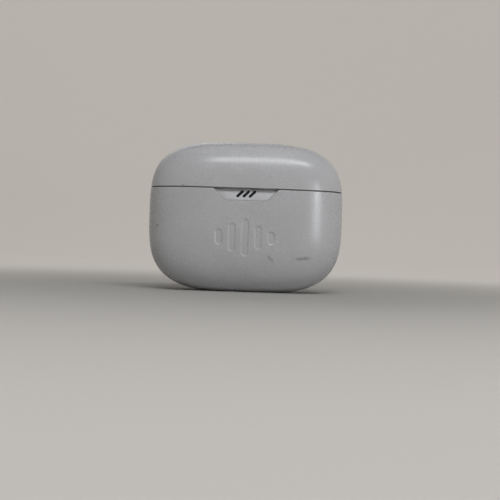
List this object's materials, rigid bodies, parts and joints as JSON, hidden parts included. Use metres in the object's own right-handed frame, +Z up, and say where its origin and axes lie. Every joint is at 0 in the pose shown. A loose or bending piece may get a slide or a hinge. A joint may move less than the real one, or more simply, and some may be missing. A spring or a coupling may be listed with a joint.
{
  "type": "wireless earbuds case",
  "caption": "Pebble-shaped charging case for stem-style wireless earbuds, with a rear-hinged lid, a front thumb scoop with a slanted level indicator, and a rear charging inlet",
  "frame": {"origin": "centre of the flat foot that the case stands on", "axes": "+X to the case's right seen from the front, +Y to the rear where the hinge is, +Z up through the lid"},
  "size_m": [0.065, 0.031, 0.05],
  "materials": {
    "shell_plastic": "satin light grey, fine moulded grain",
    "cradle_plastic": "smooth semi-gloss light grey",
    "smoked_lens": "glossy smoked black",
    "bright_steel": "bright ground steel",
    "black_steel": "black oxide",
    "nickel": "nickel plated",
    "gold_plate": "gold plated",
    "board_mask": "green solder mask",
    "ribbon": "amber flexible film",
    "black_plastic": "moulded black",
    "pale_plastic": "pale moulded",
    "cell_foil": "satin foil pouch",
    "foam_tape": "black foam adhesive pad",
    "red_sleeve": "red wire sleeve",
    "black_sleeve": "black wire sleeve"
  },
  "bodies": {
    "base": {"base_shell": "shell_plastic", "earbud_tray": "cradle_plastic", "hinge_pin": "bright_steel", "indicator_bezel": "cradle_plastic", "indicator_lens": "smoked_lens", "indicator_board": "board_mask", "lid_sensor": "black_plastic", "indicator_ribbon": "ribbon", "indicator_led_1": "pale_plastic", "indicator_led_2": "pale_plastic", "indicator_led_3": "pale_plastic", "main_board": "board_mask", "usb_shell": "bright_steel", "usb_tongue": "black_plastic", "charger_chip": "black_plastic", "controller_chip": "black_plastic", "power_inductor": "black_steel", "battery_socket": "pale_plastic", "board_screw_front_left": "black_steel", "board_screw_front_right": "black_steel", "board_screw_rear_left": "black_steel", "board_screw_rear_right": "black_steel", "contact_block_left": "black_plastic", "contact_block_right": "black_plastic", "contact_barrel_left_front": "gold_plate", "contact_barrel_left_rear": "gold_plate", "contact_barrel_right_front": "gold_plate", "contact_barrel_right_rear": "gold_plate", "battery_cell": "cell_foil", "battery_tape": "foam_tape", "battery_lead_red": "red_sleeve", "battery_lead_black": "black_sleeve", "closing_magnet_left": "nickel", "closing_magnet_right": "nickel", "earbud_magnet_left": "nickel", "earbud_magnet_right": "nickel"},
    "lid": {"lid_shell": "shell_plastic", "lid_liner": "cradle_plastic", "hinge_bracket": "shell_plastic", "hinge_screw_left": "black_steel", "hinge_screw_right": "black_steel", "lid_magnet_left": "nickel", "lid_magnet_right": "nickel"},
    "pin_left_front": {"contact_pin_left_front": "gold_plate"},
    "pin_left_rear": {"contact_pin_left_rear": "gold_plate"},
    "pin_right_front": {"contact_pin_right_front": "gold_plate"},
    "pin_right_rear": {"contact_pin_right_rear": "gold_plate"}
  },
  "joints": [
    {"name": "lid_hinge", "type": "hinge", "parent": "base", "child": "lid", "pos_m": [0, 0.0142, 0.034], "axis": [-1, 0, 0], "range_deg": [0, 100]},
    {"name": "contact_left_front", "type": "slide", "parent": "base", "child": "pin_left_front", "axis": [0, 0, -1], "range_m": [0, 0.0008], "stiffness_N_per_m": 300, "springref_m": -0.001},
    {"name": "contact_left_rear", "type": "slide", "parent": "base", "child": "pin_left_rear", "axis": [0, 0, -1], "range_m": [0, 0.0008], "stiffness_N_per_m": 300, "springref_m": -0.001},
    {"name": "contact_right_front", "type": "slide", "parent": "base", "child": "pin_right_front", "axis": [0, 0, -1], "range_m": [0, 0.0008], "stiffness_N_per_m": 300, "springref_m": -0.001},
    {"name": "contact_right_rear", "type": "slide", "parent": "base", "child": "pin_right_rear", "axis": [0, 0, -1], "range_m": [0, 0.0008], "stiffness_N_per_m": 300, "springref_m": -0.001}
  ]
}
